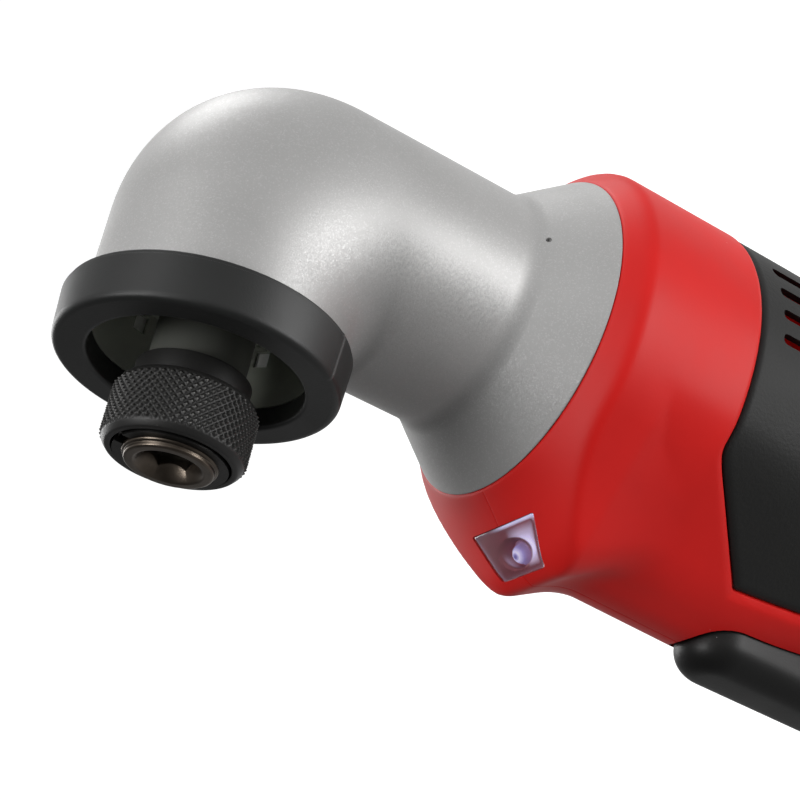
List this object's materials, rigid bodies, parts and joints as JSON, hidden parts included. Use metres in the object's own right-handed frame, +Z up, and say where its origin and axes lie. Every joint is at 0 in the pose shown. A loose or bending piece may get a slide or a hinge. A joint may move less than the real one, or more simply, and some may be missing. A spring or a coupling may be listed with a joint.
{
  "type": "right angle impact driver",
  "caption": "Cordless right angle impact driver: silver elbow gear case with knurled hex chuck and rubber guard, red barrel handle with lamp, lever trigger and slide-in battery foot.",
  "frame": {"origin": "centre of the battery foot's flat underside, on the handle axis", "axes": "+Z up along the handle, -Y out through the chuck, X across the tool"},
  "size_m": [0.0608, 0.0735, 0.2821],
  "materials": {
    "silver_paint": "satin",
    "black_rubber": "matt",
    "black_oxide": "satin",
    "steel": "satin",
    "dark_steel": "oiled",
    "bronze": "satin",
    "red_plastic": "satin",
    "black_plastic": "satin",
    "grey_plastic": "satin",
    "clear_plastic": "clear",
    "lamp": "glossy",
    "circuit_board": "satin",
    "alloy": "cast",
    "magnet": "ground",
    "copper": "enamelled",
    "carbon": "matt",
    "lead_insulation": "satin",
    "cell_wrap": "satin",
    "contact_metal": "plated"
  },
  "bodies": {
    "housing": {"gear_case": "silver_paint", "guard_ring": "black_rubber", "bearing_retainer": "black_plastic", "ball_bearings": "steel", "bushes": "bronze", "ring_gear": "steel", "gearbox_cover": "alloy", "motor_can": "steel", "motor_magnets": "magnet", "end_bell": "black_plastic", "carbon_brushes": "carbon", "housing_right": "red_plastic", "housing_left": "red_plastic", "grip_right": "black_rubber", "grip_left": "black_rubber", "housing_screws": "black_oxide", "lamp_lens": "clear_plastic", "lamp_module": "lamp", "trigger_pin": "steel", "trigger_spring": "steel", "switch_body": "grey_plastic", "control_board": "circuit_board", "gauge_lens": "clear_plastic", "motor_leads": "lead_insulation", "terminal_block": "grey_plastic", "terminal_blades": "contact_metal"},
    "rotor": {"motor_shaft": "steel", "sun_pinion": "steel", "armature_core": "steel", "armature_windings": "copper", "commutator": "copper", "cooling_fan": "grey_plastic"},
    "carrier": {"camshaft_carrier": "steel", "planet_pins": "steel", "cam_balls": "steel", "hammer_spring": "steel"},
    "planet_a": {"planet_gear_a": "steel"},
    "planet_b": {"planet_gear_b": "steel"},
    "planet_c": {"planet_gear_c": "steel"},
    "hammer": {"hammer": "steel"},
    "anvil": {"anvil_pinion": "steel"},
    "spindle": {"output_spindle": "dark_steel", "bevel_wheel": "steel", "retaining_ring": "dark_steel", "sleeve_spring": "steel"},
    "sleeve": {"chuck_sleeve": "black_oxide"},
    "ball_right": {"bit_ball_right": "steel"},
    "ball_left": {"bit_ball_left": "steel"},
    "trigger": {"trigger": "black_plastic"},
    "plunger": {"switch_plunger": "black_plastic"},
    "shuttle": {"direction_shuttle": "black_plastic"},
    "battery": {"battery_case": "black_plastic", "battery_cover": "black_plastic", "battery_screws": "black_oxide", "battery_cells": "cell_wrap", "battery_board": "circuit_board", "battery_contacts": "contact_metal", "latch_springs": "steel"},
    "latch_right": {"battery_latch_right": "red_plastic"},
    "latch_left": {"battery_latch_left": "red_plastic"}
  },
  "joints": [
    {"name": "motor_spin", "type": "hinge", "parent": "housing", "child": "rotor", "pos_m": [0, 0, 0.17], "axis": [0, 0, 1], "continuous": true},
    {"name": "carrier_spin", "type": "hinge", "parent": "housing", "child": "carrier", "pos_m": [0, 0, 0.21], "axis": [0, 0, 1], "continuous": true},
    {"name": "planet_a_spin", "type": "hinge", "parent": "carrier", "child": "planet_a", "pos_m": [0.012, 0, 0.2085], "axis": [0, 0, 1], "continuous": true},
    {"name": "planet_b_spin", "type": "hinge", "parent": "carrier", "child": "planet_b", "pos_m": [-0.006, -0.01039, 0.2085], "axis": [0, 0, 1], "continuous": true},
    {"name": "planet_c_spin", "type": "hinge", "parent": "carrier", "child": "planet_c", "pos_m": [-0.006, 0.01039, 0.2085], "axis": [0, 0, 1], "continuous": true},
    {"name": "hammer_slide", "type": "slide", "parent": "carrier", "child": "hammer", "axis": [0, 0, -1], "range_m": [0, 0.005], "stiffness_N_per_m": 8000, "springref_m": -0.004, "deforming": ["hammer_spring"]},
    {"name": "anvil_spin", "type": "hinge", "parent": "housing", "child": "anvil", "pos_m": [0, 0, 0.245], "axis": [0, 0, 1], "continuous": true},
    {"name": "spindle_spin", "type": "hinge", "parent": "housing", "child": "spindle", "pos_m": [0, 0, 0.262], "axis": [0, -1, 0], "continuous": true},
    {"name": "sleeve_slide", "type": "slide", "parent": "spindle", "child": "sleeve", "axis": [0, -1, 0], "range_m": [0, 0.0024], "stiffness_N_per_m": 800, "springref_m": -0.003, "deforming": ["sleeve_spring"]},
    {"name": "bit_ball_right_slide", "type": "slide", "parent": "spindle", "child": "ball_right", "axis": [1, 0, 0], "range_m": [0, 0.0006]},
    {"name": "bit_ball_left_slide", "type": "slide", "parent": "spindle", "child": "ball_left", "axis": [-1, 0, 0], "range_m": [0, 0.0006]},
    {"name": "trigger_pull", "type": "hinge", "parent": "housing", "child": "trigger", "pos_m": [0, -0.0258, 0.1665], "axis": [1, 0, 0], "range_deg": [0, 5], "stiffness_Nm_per_rad": 3, "springref_deg": -2.86, "deforming": ["trigger_spring"]},
    {"name": "plunger_slide", "type": "slide", "parent": "housing", "child": "plunger", "axis": [0, 1, 0], "range_m": [0, 0.0045]},
    {"name": "shuttle_slide", "type": "slide", "parent": "housing", "child": "shuttle", "axis": [1, 0, 0], "range_m": [-0.0032, 0.0032]},
    {"name": "battery_slide", "type": "slide", "parent": "housing", "child": "battery", "axis": [0, 0, -1], "range_m": [0, 0.085]},
    {"name": "latch_right_press", "type": "slide", "parent": "battery", "child": "latch_right", "axis": [-1, 0, 0], "range_m": [0, 0.002], "stiffness_N_per_m": 1500, "springref_m": -0.002, "deforming": ["latch_springs"]},
    {"name": "latch_left_press", "type": "slide", "parent": "battery", "child": "latch_left", "axis": [1, 0, 0], "range_m": [0, 0.002], "stiffness_N_per_m": 1500, "springref_m": -0.002, "deforming": ["latch_springs"]}
  ],
  "couplings": [
    {"joint": "carrier_spin", "follows": "motor_spin", "ratio": 0.2},
    {"joint": "planet_a_spin", "follows": "motor_spin", "ratio": -0.53333},
    {"joint": "planet_b_spin", "follows": "motor_spin", "ratio": -0.53333},
    {"joint": "planet_c_spin", "follows": "motor_spin", "ratio": -0.53333},
    {"joint": "anvil_spin", "follows": "motor_spin", "ratio": 0.2},
    {"joint": "spindle_spin", "follows": "motor_spin", "ratio": 0.13333},
    {"joint": "bit_ball_right_slide", "follows": "sleeve_slide", "ratio": 0.2},
    {"joint": "bit_ball_left_slide", "follows": "sleeve_slide", "ratio": 0.2},
    {"joint": "plunger_slide", "follows": "trigger_pull", "m_per_rad": 0.0505}
  ]
}
